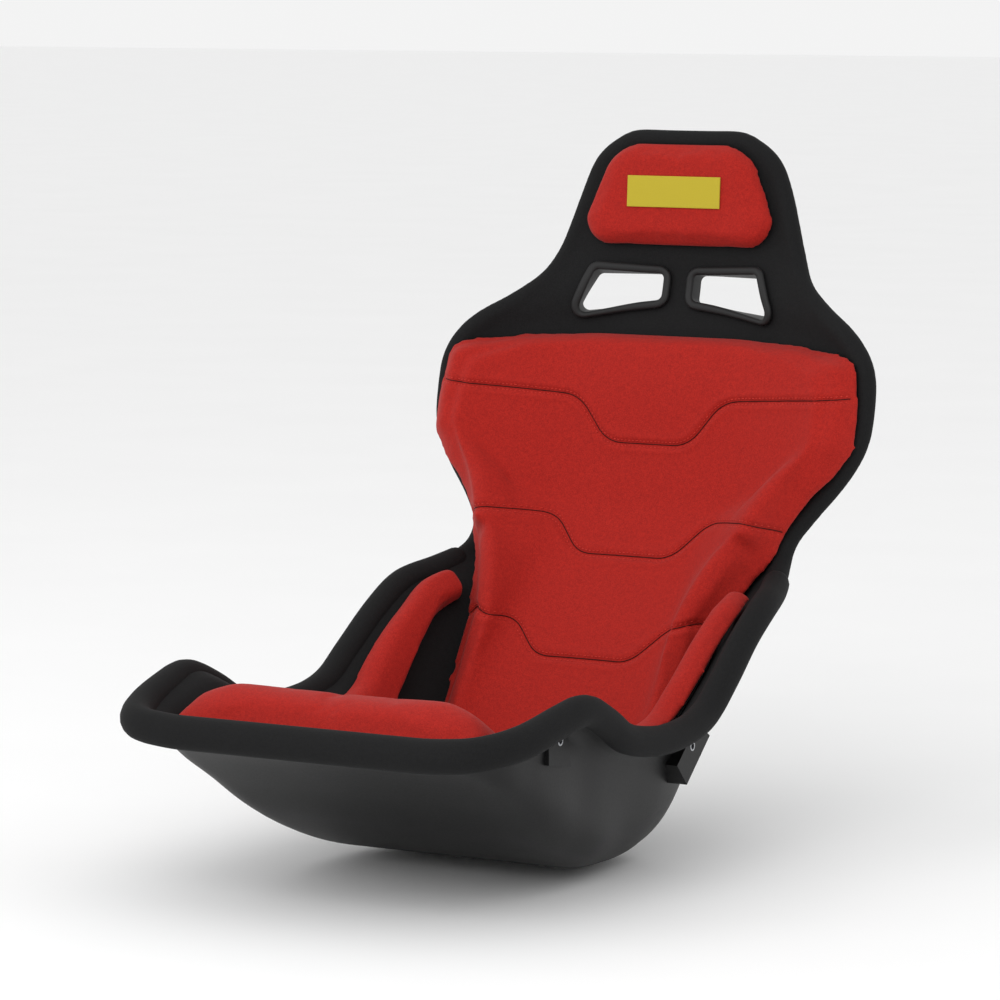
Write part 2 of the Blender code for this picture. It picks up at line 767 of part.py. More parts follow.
def boss(name, outline, side, end, looks, cutters):
    """A flat pad on the shell's side, between the mounting face and the wall, over a four-cornered outline
    given from the bolt."""
    corners = [bolt(end) + np.array(corner_spot) for corner_spot in outline]
    face, back = [], []
    for down in np.linspace(0, 1, 5):
        start = corners[0] + (corners[3] - corners[0]) * down
        stop = corners[1] + (corners[2] - corners[1]) * down
        spots = [start + (stop - start) * along for along in np.linspace(0, 1, 5)]
        face.append([(side * mount_face(), y, z) for y, z in spots])
        back.append([(side * wall_x((y, z), 0.0), y, z) for y, z in spots])
    made = slab(name, face, back, looks["shell"])
    for tool in cutters:
        cut(made, tool)


def mounts(looks):
    """Bosses and threaded inserts. Returns the cutters of the holes, for the shell."""
    wall = cutter(shell_slab("wall", (SHELL_EDGE,), -SHELL_FACE - GAP, BOSS_REACH, None))
    holes = []
    for end_name, end, outline in (("front", -1, FRONT_BOSS), ("rear", 1, REAR_BOSS)):
        for side_name, side in (("left", 1), ("right", -1)):
            name = end_name + "_" + side_name
            y, z = bolt(end)
            face = mount_face()
            hole = cutter(cylinder("hole_" + name, (side * face, y, z), INSERT_RADIUS + GAP, 0.060))
            holes.append(hole)
            boss("mount_" + name, outline, side, end, looks, (wall, hole))
            middle = (side * (face - INSERT_LENGTH / 2), y, z)
            insert = cylinder("insert_" + name, middle, INSERT_RADIUS, INSERT_LENGTH, looks["steel"])
            bore = cutter(cylinder("bore_" + name, middle, INSERT_BORE, 2 * INSERT_LENGTH))
            cut(insert, bore)
    return holes


def build():
    for left in list(bpy.data.objects):
        bpy.data.objects.remove(left, do_unlink=True)
    looks = {
        "shell": material("shell moulding", (0.012, 0.012, 0.013), 0.35),
        "lining": material("lining fabric", (0.013, 0.013, 0.014), 0.9),
        "edge": material("edge fabric", (0.013, 0.013, 0.014), 0.9),
        "cover": material("red fabric", (0.42, 0.020, 0.010), 0.85),
        "foam": material("foam", (0.35, 0.33, 0.28), 0.95),
        "tape": material("hook and loop tape", (0.020, 0.020, 0.020), 0.95),
        "bezel": material("bezel plastic", (0.022, 0.022, 0.022), 0.5),
        "patch": material("patch weave", (0.52, 0.42, 0.020), 0.8),
        "steel": material("zinc steel", (0.55, 0.56, 0.58), 0.35, 1.0),
    }
    slots = [slot_cutter("slot_left", 1), slot_cutter("slot_right", -1)]
    shell(looks, [*slots, *mounts(looks)])
    linings(looks, slots)
    edge_rolls(looks)
    slot_trims(looks)
    for cushion in (headrest(), backrest(), base(), thigh(), hip(1), hip(-1)):
        cushion.build(looks)
    tapes(looks)
    patch(looks)


build()
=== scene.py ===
# %% [markdown]
# # A bucket racing seat
# The seat is a thin moulded shell with a black fabric lining, a padded edge, loose red cushions and two
# slots for the shoulder belts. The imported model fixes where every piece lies. This lesson gives each
# piece its fine surface: one smooth form for the whole seat, fabric that swells, seams, stitches and
# finishes.

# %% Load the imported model
import math
from functools import lru_cache

import bpy
import numpy as np
from mathutils import Matrix, Vector
from mathutils.bvhtree import BVHTree


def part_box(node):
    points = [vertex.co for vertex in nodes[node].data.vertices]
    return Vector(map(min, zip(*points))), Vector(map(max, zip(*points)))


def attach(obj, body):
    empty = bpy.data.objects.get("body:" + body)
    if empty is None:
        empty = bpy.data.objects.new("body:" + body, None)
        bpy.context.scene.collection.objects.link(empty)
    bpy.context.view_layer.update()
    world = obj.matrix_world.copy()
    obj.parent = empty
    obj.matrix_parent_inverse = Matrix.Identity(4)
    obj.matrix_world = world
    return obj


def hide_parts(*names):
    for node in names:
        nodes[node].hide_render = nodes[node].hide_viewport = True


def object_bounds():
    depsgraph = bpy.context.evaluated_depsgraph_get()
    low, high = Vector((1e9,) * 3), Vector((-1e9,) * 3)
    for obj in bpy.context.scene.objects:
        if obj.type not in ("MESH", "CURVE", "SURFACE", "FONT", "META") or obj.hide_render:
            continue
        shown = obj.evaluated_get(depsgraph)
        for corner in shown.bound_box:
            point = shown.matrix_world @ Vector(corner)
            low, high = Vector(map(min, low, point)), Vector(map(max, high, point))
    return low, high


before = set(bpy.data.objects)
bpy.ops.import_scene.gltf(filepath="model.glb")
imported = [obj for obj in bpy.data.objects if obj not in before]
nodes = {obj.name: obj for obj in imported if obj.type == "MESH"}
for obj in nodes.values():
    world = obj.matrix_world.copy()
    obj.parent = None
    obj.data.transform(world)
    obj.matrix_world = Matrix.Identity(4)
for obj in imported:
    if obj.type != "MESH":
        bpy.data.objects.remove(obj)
CAD_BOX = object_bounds()
print("the model's box:", [tuple(round(value, 4) for value in corner) for corner in CAD_BOX])

# %% [markdown]
# ## The form of the seat
# A moulded seat is designed as a row of cross-sections, from the front lip, up the back, to the top of
# the head. Each row below is one section: where its edge and its middle are, and how its floor and wall
# divide its width. A smooth curve through the rows gives the form at any station, and everything on the
# seat is laid on that form. It could be sculpted instead, but then the lining, cushions and edge would
# each have to be fitted by eye.

# %% The sections
# edge (half width, Y, Z), middle (Y, Z), floor and wall as shares of the half width, and the wall as a share
# of the depth
SECTIONS = np.array((
    (0.152, -0.310, 0.027, -0.310, 0.027, 0.60, 0.80, 0.50),
    (0.202, -0.300, 0.031, -0.290, 0.016, 0.78, 0.90, 0.60),
    (0.229, -0.255, 0.039, -0.240, -0.010, 0.84, 0.89, 0.75),
    (0.239, -0.195, 0.053, -0.185, -0.045, 0.84, 0.87, 0.87),
    (0.243, -0.150, 0.059, -0.130, -0.084, 0.83, 0.85, 0.91),
    (0.241, -0.100, 0.039, -0.075, -0.113, 0.81, 0.85, 0.91),
    (0.239, -0.050, 0.014, -0.010, -0.136, 0.78, 0.86, 0.90),
    (0.239, 0.035, 0.002, 0.060, -0.148, 0.70, 0.86, 0.90),
    (0.238, 0.115, 0.012, 0.130, -0.150, 0.67, 0.87, 0.90),
    (0.237, 0.170, 0.046, 0.186, -0.135, 0.65, 0.88, 0.90),
    (0.234, 0.222, 0.083, 0.236, -0.083, 0.64, 0.89, 0.88),
    (0.230, 0.274, 0.110, 0.286, -0.025, 0.62, 0.89, 0.84),
    (0.216, 0.328, 0.121, 0.336, 0.034, 0.58, 0.87, 0.75),
    (0.199, 0.378, 0.137, 0.388, 0.090, 0.56, 0.86, 0.70),
    (0.196, 0.402, 0.168, 0.423, 0.132, 0.50, 0.84, 0.60),
    (0.218, 0.418, 0.203, 0.450, 0.176, 0.58, 0.88, 0.55),
    (0.247, 0.428, 0.240, 0.466, 0.222, 0.50, 0.85, 0.50),
    (0.267, 0.436, 0.277, 0.477, 0.268, 0.45, 0.80, 0.50),
    (0.271, 0.446, 0.320, 0.487, 0.321, 0.45, 0.80, 0.50),
    (0.266, 0.454, 0.361, 0.500, 0.363, 0.45, 0.80, 0.50),
    (0.241, 0.464, 0.393, 0.512, 0.397, 0.45, 0.80, 0.50),
    (0.201, 0.483, 0.418, 0.520, 0.425, 0.35, 0.75, 0.55),
    (0.166, 0.502, 0.445, 0.526, 0.450, 0.20, 0.70, 0.60),
    (0.149, 0.518, 0.475, 0.529, 0.477, 0.20, 0.70, 0.60),
    (0.137, 0.526, 0.509, 0.531, 0.509, 0.30, 0.75, 0.55),
    (0.124, 0.533, 0.549, 0.533, 0.547, 0.45, 0.80, 0.50),
    (0.107, 0.536, 0.586, 0.535, 0.583, 0.45, 0.80, 0.50),
    (0.070, 0.537, 0.611, 0.536, 0.610, 0.45, 0.80, 0.50),
))
CROWN = len(SECTIONS) - 1
PEAK, HIP = 4, 11


def section_row(t):
    """The table's row at any station number, on a smooth curve through the rows."""
    t = min(max(t, 0.0), CROWN)
    i = min(int(t), CROWN - 1)
    s = t - i
    here, after = SECTIONS[i], SECTIONS[i + 1]
    before = SECTIONS[i - 1] if i > 0 else 2 * here - after
    beyond = SECTIONS[i + 2] if i + 2 <= CROWN else 2 * after - here
    square = 2 * before - 5 * here + 4 * after - beyond
    cube = 3 * here - before - 3 * after + beyond
    return 0.5 * (2 * here + (after - before) * s + square * s**2 + cube * s**3)


def rounded(corners, share=0.40, steps=24):
    """A polyline whose inner corners become curves that start at this share of the shorter side."""
    points = [corners[0]]
    for before, corner, after in zip(corners, corners[1:], corners[2:]):
        reach = share * min(np.linalg.norm(corner - before), np.linalg.norm(after - corner))
        start = corner + (before - corner) / np.linalg.norm(before - corner) * reach
        end = corner + (after - corner) / np.linalg.norm(after - corner) * reach
        for s in np.linspace(0, 1, steps + 1):
            points.append((1 - s) ** 2 * start + 2 * s * (1 - s) * corner + s**2 * end)
    return np.array([*points, corners[-1]])


@lru_cache(maxsize=None)
def half_section(t):
    """(distance along, X, depth) of a section's half, the way its depth runs, and its middle."""
    half, edge_y, edge_z, middle_y, middle_z, floor, wall, top = section_row(t)
    across = np.array([0.0, edge_y - middle_y, edge_z - middle_z])
    depth = max(np.linalg.norm(across), 1e-6)
    line = rounded(np.array([(0, 0), (floor * half, 0), (wall * half, top * depth), (half, depth)]))
    along = np.concatenate([[0], np.cumsum(np.linalg.norm(np.diff(line, axis=0), axis=1))])
    return along, line[:, 0], line[:, 1], across / depth, np.array([0.0, middle_y, middle_z])


def on_form(t, shares):
    """Points of the form at station t, for shares across from -1 at the right edge to 1 at the left."""
    along, x, depth, way, middle = half_section(round(t, 5))
    at = np.abs(shares) * along[-1]
    over = np.maximum(at - along[-1], 0.0) / (along[-1] - along[-2])
    points = middle + way * (np.interp(at, along, depth) + over * (depth[-1] - depth[-2]))[:, None]
    points[:, 0] = np.copysign(np.interp(at, along, x) + over * (x[-1] - x[-2]), shares)
    return points


def facing(t, shares):
    """The form's unit normals, towards the driver."""
    t = min(max(t, 1.2), CROWN - 1.0)
    shares = np.clip(shares, -0.98, 0.98)
    up = on_form(t + 0.05, shares) - on_form(t - 0.05, shares)
    across = on_form(t, shares + 0.02) - on_form(t, shares - 0.02)
    n = np.cross(across, up)
    return n / np.linalg.norm(n, axis=1)[:, None]


def lay(t, shares, heights):
    """Points at these heights over the form."""
    shares = np.asarray(shares, float)
    return on_form(t, shares) + np.broadcast_to(heights, shares.shape)[:, None] * facing(t, shares)


def half_length(t):
    return half_section(round(t, 5))[0][-1]


def share_at(t, x):
    """Shares across of points x from the middle plane."""
    along, xs = half_section(round(t, 5))[:2]
    x = np.asarray(x, float)
    over = np.maximum(np.abs(x) - xs[-1], 0.0) * (along[-1] - along[-2]) / (xs[-1] - xs[-2])
    return np.copysign((np.interp(np.abs(x), xs, along) + over) / along[-1], x)


class Track:
    """Distances along the form at one share across, between two stations."""

    def __init__(self, share, first, last, steps=300):
        self.stations = np.linspace(first, last, steps + 1)
        points = np.array([on_form(t, np.array([share]))[0] for t in self.stations])
        self.distances = np.concatenate([[0], np.cumsum(np.linalg.norm(np.diff(points, axis=0), axis=1))])
        self.whole = float(self.distances[-1])

    def station(self, distance):
        return float(np.interp(distance, self.distances, self.stations))


def station_at(z, x=0.0):
    """The station on the back where the form is at this height, x from the middle plane."""
    low, high = 9.0, float(CROWN)
    while high - low > 1e-4:
        t = (low + high) / 2
        if on_form(t, share_at(t, [x]))[0, 2] < z:
            low = t
        else:
            high = t
    return low


MIDDLE = Track(0.0, 0, CROWN)
print("length along the middle:", round(MIDDLE.whole, 3), "m")

# %% [markdown]
# ## Heights over the form
# The layers of a seat are stacked: shell, lining, tape, cushion. These are their heights over the middle
# of the shell's wall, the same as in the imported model, so that nothing cuts into its neighbour.

# %% Heights and sizes
SHELL_WALL = 0.004
LINING = 0.007
LINING_FACE = 0.0093
PAD_BACK = 0.0135
VOXEL = 0.0035

# %% [markdown]
# ## Small tools
# Blender's operators work on whatever is selected, so each new piece starts with nothing selected. A grid
# or a torus gives the right net of faces, its vertices are laid on the form, and modifiers finish it.

# %% Tools for pieces


def alone(piece):
    """Selects only this piece."""
    if bpy.context.object and bpy.context.object.mode != "OBJECT":
        bpy.ops.object.mode_set(mode="OBJECT")
    bpy.ops.object.select_all(action="DESELECT")
    if piece:
        piece.select_set(True)
        bpy.context.view_layer.objects.active = piece


def modify(piece, kind, **settings):
    """Adds a modifier and applies it."""
    alone(piece)
    step = piece.modifiers.new(kind, kind)
    for key, value in settings.items():
        setattr(step, key, value)
    bpy.ops.object.modifier_apply(modifier=step.name)


def vertices(piece):
    co = np.empty(len(piece.data.vertices) * 3)
    piece.data.vertices.foreach_get("co", co)
    return co.reshape(-1, 3)


def set_vertices(piece, co):
    piece.data.vertices.foreach_set("co", np.ascontiguousarray(co, float).ravel())
    piece.data.update()


def normals(piece):
    n = np.empty(len(piece.data.vertices) * 3)
    piece.data.vertex_normals.foreach_get("vector", n)
    return n.reshape(-1, 3)


def in_edit(piece, *steps):
    """Runs edit-mode operators on the whole of a piece."""
    alone(piece)
    bpy.ops.object.mode_set(mode="EDIT")
    bpy.ops.mesh.select_all(action="SELECT")
    for step in steps:
        step()
    bpy.ops.object.mode_set(mode="OBJECT")


def merge():
    bpy.ops.mesh.remove_doubles(threshold=1e-5)


def outwards():
    bpy.ops.mesh.normals_make_consistent(inside=False)


def laid_grid(name, rows, columns, where):
    """A grid whose row at share a is laid at where(a, shares across)."""
    alone(None)
    bpy.ops.mesh.primitive_grid_add(x_subdivisions=columns, y_subdivisions=rows, size=2)
    piece = bpy.context.object
    piece.name = name
    flat = vertices(piece)
    xs, i = np.unique(np.round(flat[:, 0], 4), return_inverse=True)
    ys, j = np.unique(np.round(flat[:, 1], 4), return_inverse=True)
    across = np.linspace(0, 1, len(xs))
    places = np.array([where(a, across) for a in np.linspace(0, 1, len(ys))])
    set_vertices(piece, places[j, i])
    return piece


def join(name, *pieces):
    alone(pieces[0])
    for piece in pieces:
        piece.select_set(True)
    bpy.ops.object.join()
    pieces[0].name = name
    return pieces[0]


def finished(piece, finish, *replaced, slot=None, smooth=60):
    """Gives a piece its finish, its place in the model and smooth shading."""
    piece.data.materials.clear()
    piece.data.materials.append(finish)
    alone(piece)
    bpy.ops.object.shade_smooth_by_angle(angle=math.radians(smooth))
    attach(piece, "root")
    if replaced:
        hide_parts(*replaced)
    print(piece.name, len(piece.data.polygons), "faces")
    return piece


# %% [markdown]
# ## Finishes
# A finish is a small network of shader nodes. Written as sums and products, the maths of a network reads
# like the thought behind it, so one class stands for a value that varies over a surface, and Python's own
# operators add the Math nodes. Patterns read Object coordinates, which here are metres in the seat's own
# frame.

# %% Shader maths as expressions


class Varying:
    """A value that varies over a surface."""

    def __init__(self, finish, socket):
        self.finish = finish
        self.socket = socket

    def maths(self, operation, first, second):
        return self.finish.node("Math", {"operation": operation}, first, second)

    def __add__(self, other):
        return self.maths("ADD", self, other)

    def __radd__(self, other):
        return self.maths("ADD", other, self)

    def __sub__(self, other):
        return self.maths("SUBTRACT", self, other)

    def __rsub__(self, other):
        return self.maths("SUBTRACT", other, self)

    def __mul__(self, other):
        return self.maths("MULTIPLY", self, other)

    def __rmul__(self, other):
        return self.maths("MULTIPLY", other, self)

    def __gt__(self, other):
        return self.maths("GREATER_THAN", self, other)


class Finish:
    """A material with a Principled shader. node() adds any other node and gives its output."""

    def __init__(self, name, **constants):
        self.material = bpy.data.materials.new(name)
        self.material.use_nodes = True
        self.tree = self.material.node_tree
        self.shader = self.tree.nodes["Principled BSDF"]
        for key, value in constants.items():
            self.put(self.shader.inputs[key.replace("_", " ")], value)

    def put(self, socket, value):
        if isinstance(value, Varying):
            self.tree.links.new(value.socket, socket)
        elif isinstance(value, tuple) and len(value) == 3 and socket.type == "RGBA":
            socket.default_value = (*value, 1.0)
        else:
            socket.default_value = value

    def node(self, kind, settings, *values, output=0, **named):
        made = self.tree.nodes.new("ShaderNode" + kind)
        stops = settings.pop("stops", None)
        for key, value in settings.items():
            setattr(made, key, value)
        if stops:
            for element, (position, colour) in zip(made.color_ramp.elements, stops):
                element.position = position
                element.color = (*colour, 1.0)
        for socket, value in zip(made.inputs, values):
            if value is not None:
                self.put(socket, value)
        for key, value in named.items():
            self.put(made.inputs[key.replace("_", " ")], value)
        return Varying(self, made.outputs[output])

    def place(self):
        """Metres in the seat's frame."""
        return self.node("TexCoord", {}, output=3)

    def noise(self, place, scale, detail=2.0, roughness=0.5):
        return self.node("TexNoise", {}, Vector=place, Scale=scale, Detail=detail, Roughness=roughness)

    def blend(self, factor, first, second):
        return self.node("Mix", {"data_type": "RGBA"}, Factor=factor, A=first, B=second, output=2)

    def bump(self, height, distance, strength=1.0, under=None):
        inputs = {"Height": height, "Distance": distance, "Strength": strength}
        if under:
            inputs["Normal"] = under
        return self.node("Bump", {}, **inputs)

    def surface(self, colour=None, roughness=None, normal=None):
        for key, value in (("Base Color", colour), ("Roughness", roughness), ("Normal", normal)):
            if value is not None:
                self.put(self.shader.inputs[key], value)
        return self.material


print("shader tools ready")

# %% [markdown]
# ## The finishes of this seat
# The cushions and the lining are a fine knitted fabric: matt, a little furry at grazing light, with
# heathered threads of slightly different colour. A close mesh of small cells gives the knit, a coarser
# noise the soft unevenness of cloth over foam. The shell is a satin moulding, and the slot bezels are a
# plain satin plastic.

# %% Fabric, moulding, plastic and metal


def knitted(name, colour, dark, light, sheen):
    finish = Finish(name, Sheen_Weight=sheen, Sheen_Roughness=0.45, Specular_IOR_Level=0.25)
    place = finish.place()
    cells = finish.node("TexVoronoi", {}, Vector=place, Scale=1150.0)
    threads = finish.noise(place, 900.0, 1.0)
    heather = finish.noise(place, 260.0, 3.0, 0.65)
    cloth = finish.noise(place, 38.0, 2.0)
    lit = finish.blend((threads - 0.5) * 2.2 + (heather - 0.5) * 1.6 + 0.5, dark, light)
    tone = finish.blend((cloth - 0.35) * 0.5, lit, colour)
    knit = finish.bump(cells * 0.7 + threads * 0.3, 0.0004, 0.45)
    soft = finish.bump(cloth, 0.0016, 0.25, knit)
    return finish.surface(tone, 0.86 + (heather - 0.5) * 0.12, soft)


red_fabric = knitted("red fabric", (0.365, 0.010, 0.006), (0.290, 0.007, 0.004), (0.430, 0.016, 0.009), 0.05)
black_fabric = knitted(
    "black fabric", (0.0050, 0.0050, 0.0054), (0.0034, 0.0034, 0.0037), (0.0085, 0.0085, 0.0090), 0.0
)


def moulded(name, colour, roughness, grain, depth):
    finish = Finish(name, Specular_IOR_Level=0.3)
    place = finish.place()
    pores = finish.noise(place, grain, 2.0)
    broad = finish.noise(place, 6.0, 2.0)
    tone = finish.blend(broad, tuple(0.85 * part for part in colour), tuple(1.2 * part for part in colour))
    shine = roughness + (pores - 0.5) * 0.10 + (broad - 0.5) * 0.06
    return finish.surface(tone, shine, finish.bump(pores, depth, 0.3))


satin_shell = moulded("satin shell", (0.0040, 0.0040, 0.0043), 0.48, 420.0, 0.0002)
bezel_plastic = moulded("bezel plastic", (0.010, 0.010, 0.0104), 0.5, 1500.0, 0.00015)
zinc = moulded("zinc steel", (0.42, 0.43, 0.45), 0.34, 2500.0, 0.0001)
zinc.node_tree.nodes["Principled BSDF"].inputs["Metallic"].default_value = 1.0
foam_finish = moulded("cut foam", (0.30, 0.28, 0.22), 0.95, 1800.0, 0.0004)
tape_finish = moulded("hook and loop", (0.015, 0.015, 0.016), 0.9, 2600.0, 0.0006)


def woven(name, colour, dark):
    """A flat weave: threads across and threads up, each raised where it passes over the other."""
    finish = Finish(name, Specular_IOR_Level=0.3, Sheen_Weight=0.1)
    place = finish.place()
    across = finish.node("TexWave", {"bands_direction": "X"}, Vector=place, Scale=330.0, output=1)
    up = finish.node("TexWave", {"bands_direction": "Z"}, Vector=place, Scale=330.0, output=1)
    over = across * up
    tone = finish.blend(over * 0.8 + 0.1, dark, colour)
    return finish.surface(tone, 0.72 + over * 0.1, finish.bump(over, 0.0004, 0.5))


patch_weave = woven("patch weave", (0.62, 0.50, 0.030), (0.44, 0.35, 0.020))
thread = knitted("red thread", (0.52, 0.022, 0.013), (0.40, 0.014, 0.009), (0.62, 0.040, 0.025), 0.1)
# Painted shade: a near-black red for the tubes along the bottom of the seams' valleys.
seam_shade_paint = knitted("painted seam shade", (0.050, 0.002, 0.001), (0.035, 0.001, 0.001), (0.070, 0.003, 0.002), 0.0)
print("finishes:", len(bpy.data.materials))

# %% [markdown]
# ## Camera, light and floor
# The camera stands well back, so the seat's far side is hardly smaller than its near side. The light is
# that of a studio: one large soft lamp in front, a second on the other side, and a bright room all round.

# %% Camera
alone(None)
bpy.ops.object.camera_add(location=(2.5005, -4.2321, 0.8142))
camera = bpy.context.object
camera.matrix_world = Matrix((
    (0.86603, -0.05750, 0.49668, 2.5005),
    (0.50000, 0.09959, -0.86028, -4.2321),
    (0.00000, 0.99337, 0.11500, 0.8142),
    (0, 0, 0, 1),
))
camera.data.lens = 167.1
camera.data.sensor_width = 36.0
bpy.context.scene.camera = camera
print("camera", round(camera.data.lens, 1), "mm")

# %% Light and floor
scene = bpy.context.scene
scene.view_settings.view_transform = "Standard"
world = bpy.data.worlds.new("studio")
scene.world = world
world.use_nodes = True
world.node_tree.nodes["Background"].inputs["Color"].default_value = (1.0, 1.0, 1.0, 1.0)
world.node_tree.nodes["Background"].inputs["Strength"].default_value = 0.90


def soft_lamp(name, place, target, size, power):
    alone(None)
    bpy.ops.object.light_add(type="AREA", location=place)
    lamp = bpy.context.object
    lamp.name = name
    lamp.rotation_euler = (Vector(target) - Vector(place)).to_track_quat("-Z", "Y").to_euler()
    lamp.data.size = size
    lamp.data.energy = power


soft_lamp("front lamp", (1.0, -3.4, 2.6), (0, 0.1, 0.2), 3.0, 50)
soft_lamp("side lamp", (-2.6, -2.2, 2.2), (0, 0.1, 0.1), 2.4, 22)
alone(None)
FLOOR = CAD_BOX[0][2] - 0.004
bpy.ops.mesh.primitive_plane_add(size=80, location=(0, 0, FLOOR))
floor = bpy.context.object
floor.name = "floor"
paper = Finish("pale floor", Roughness=0.9, Specular_IOR_Level=0.1)
grain = paper.noise(paper.place(), 3.0)
floor.data.materials.append(paper.surface(paper.blend(grain, (0.93, 0.93, 0.93), (0.96, 0.96, 0.96))))
print("floor at", round(FLOOR, 4))

# %% [markdown]
# ## The shell
# The real shell is one moulding about four millimetres thick. A grid laid on the form is its middle, and
# Solidify gives the wall to both sides. The belt slots and the bolt holes are cut with Booleans, as a
# router would cut them.

# %% The outline of a belt slot
SLOT = ((0.010, 0.464), (0.112, 0.465), (0.146, 0.397), (0.0105, 0.415))
SLOT_CORNER = 0.0165
SLOT_RING = 0.0095
HOLE_IN = SLOT_RING - 0.0041  # from the bezel's outer edge in to the hole's


def slot_outline(inset, arc=8, side=12):
    """(X, Z) round the left slot, this far in from the bezel's outer edge."""
    corners = [np.array(corner) for corner in SLOT]
    points = []
    for i, here in enumerate(corners):
        to_last = corners[i - 1] - here
        to_next = corners[(i + 1) % 4] - here
        to_last /= np.linalg.norm(to_last)
        to_next /= np.linalg.norm(to_next)
        inward = (to_last + to_next) / np.linalg.norm(to_last + to_next)
        half_angle = math.acos(float(to_last @ to_next)) / 2
        centre = here + inward * SLOT_CORNER / math.sin(half_angle)
        turn = math.pi / 2 - half_angle
        first = math.atan2(-inward[1], -inward[0])
        for angle in first + turn * np.linspace(1, -1, arc + 1):
            points.append(centre + (SLOT_CORNER - inset) * np.array([math.cos(angle), math.sin(angle)]))
    outline = []
    for i, here in enumerate(points):
        outline.append(here)
        if (i + 1) % (arc + 1) == 0:
            onward = points[(i + 1) % len(points)] - here
            outline += [here + onward * share for share in np.linspace(0, 1, side + 1)[1:-1]]
    return outline


@lru_cache(maxsize=None)
def slot_spots(inset, side):
    """(points on the form, normals) round a slot."""
    points, ways = [], []
    for x, z in slot_outline(inset):
        t = station_at(z, x)
        share = side * share_at(t, [x])
        points.append(on_form(t, share)[0])
        ways.append(facing(t, share)[0])
    return np.array(points), np.array(ways)


def slot_ring(inset, height, side):
    points, ways = slot_spots(round(inset, 5), side)
    return points + height * ways


def turns(x, y, count):
    """Which of count equal steps round a circle each point is at."""
    return np.rint(np.arctan2(y, x) / (2 * math.pi) * count).astype(int) % count


def slot_tool(inset, low, high, side):
    """A closed prism through a slot, to cut with."""
    ring = slot_ring(inset, low, side)
    alone(None)
    bpy.ops.mesh.primitive_cylinder_add(vertices=len(ring), radius=1, depth=2)
    tool = bpy.context.object
    co = vertices(tool)
    turn = turns(co[:, 0], co[:, 1], len(ring))
    top = co[:, 2] > 0
    places = np.where(top[:, None], slot_ring(inset, high, side)[turn], ring[turn])
    set_vertices(tool, places)
    in_edit(tool, outwards)
    return tool


def cut(piece, tool):
    modify(piece, "BOOLEAN", operation="DIFFERENCE", object=tool, solver="EXACT")
    bpy.data.objects.remove(tool, do_unlink=True)


# %% The shell
EDGE_IN = 0.002


def shell_row(a, across):
    t = 0.04 + a * (CROWN - 0.08)
    reach = 1 - EDGE_IN / half_length(t)
    return lay(t, (2 * across - 1) * reach, 0.0)


shell = laid_grid("seat_shell", 190, 110, shell_row)
modify(shell, "SOLIDIFY", thickness=SHELL_WALL, offset=0.0, use_even_offset=False)
for side in (1, -1):
    cut(shell, slot_tool(HOLE_IN, -0.012, 0.016, side))
INSERTS = ("insert_front_left", "insert_front_right", "insert_rear_left", "insert_rear_right")
INSERT_PLAY = 0.0003
for insert in INSERTS:
    low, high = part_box(insert)
    alone(None)
    bpy.ops.mesh.primitive_cylinder_add(
        vertices=32, radius=(high[1] - low[1]) / 2 + INSERT_PLAY, depth=0.03,
        location=[(a + b) / 2 for a, b in zip(low, high)], rotation=(0, math.pi / 2, 0),
    )
    tool = bpy.context.object
    bpy.ops.object.transform_apply(location=True, rotation=True, scale=True)
    cut(shell, tool)
finished(shell, satin_shell, "shell", slot="shell", smooth=35)

# %% [markdown]
# ## The upper trim
# Above the waist the black fabric runs over the lining and round the padded edge in one piece, so there
# is no line between them, only a soft hollow. The foam sheet and the foam edge are made apart, a voxel
# remesh grows them together, and smoothing pulls the fabric tight over the hollow, as the upholsterer
# does.

# %% A foam edge along the rim
RIM_STEP = 0.006


def rim_path(first, last, steps=400):
    """(points, stations) along the left rim from one station to another."""
    stations = np.linspace(first, last, steps)
    points = np.array([on_form(t, np.array([1.0]))[0] for t in stations])
    return points, stations


def rim_loop(start):
    """(points, stations) of the rim from the left side at a station, over the crown, to the right side."""
    points, stations = rim_path(start, CROWN)
    top = on_form(float(CROWN), np.linspace(1, -1, 60))[1:-1]
    mirrored = points[::-1] * (-1, 1, 1)
    whole = np.vstack([points, top, mirrored])
    t = np.concatenate([stations, np.full(len(top), float(CROWN)), stations[::-1]])
    return whole, t


def lip_loop(start):
    """(points, stations) of the rim from the left side at a station, round the lip, to the right side."""
    points, stations = rim_path(start, 0.0)
    lip = on_form(0.0, np.linspace(1, -1, 80))[1:-1]
    whole = np.vstack([points, lip, points[::-1] * (-1, 1, 1)])
    t = np.concatenate([stations, np.zeros(len(lip)), stations[::-1]])
    return whole, t


def evenly(points, values, step=RIM_STEP, soften=4):
    """The same path with even steps, its corners softened."""
    along = np.concatenate([[0], np.cumsum(np.linalg.norm(np.diff(points, axis=0), axis=1))])
    spots = np.linspace(0, along[-1], int(along[-1] / step) + 1)
    even = np.stack([np.interp(spots, along, points[:, k]) for k in range(3)], axis=1)
    for _ in range(soften):
        even[1:-1] = (even[:-2] + 2 * even[1:-1] + even[2:]) / 4
    return even, np.interp(spots, along, values)


def tube(name, points, radii, sides=5):
    """A round tube along points, made as a curve with a bevel and then turned into a mesh."""
    alone(None)
    bpy.ops.curve.primitive_nurbs_path_add()
    curve = bpy.context.object
    curve.name = name
    curve.data.splines.clear()
    spline = curve.data.splines.new("POLY")
    spline.points.add(len(points) - 1)
    for spot, point, radius in zip(spline.points, points, radii):
        spot.co = (*point, 1.0)
        spot.radius = radius
    curve.data.bevel_depth = 1.0
    curve.data.bevel_resolution = sides
    curve.data.use_fill_caps = True
    bpy.ops.object.convert(target="MESH")
    in_edit(curve, merge, outwards)
    return curve


# %% The upper trim
TRIM_START = 12.6


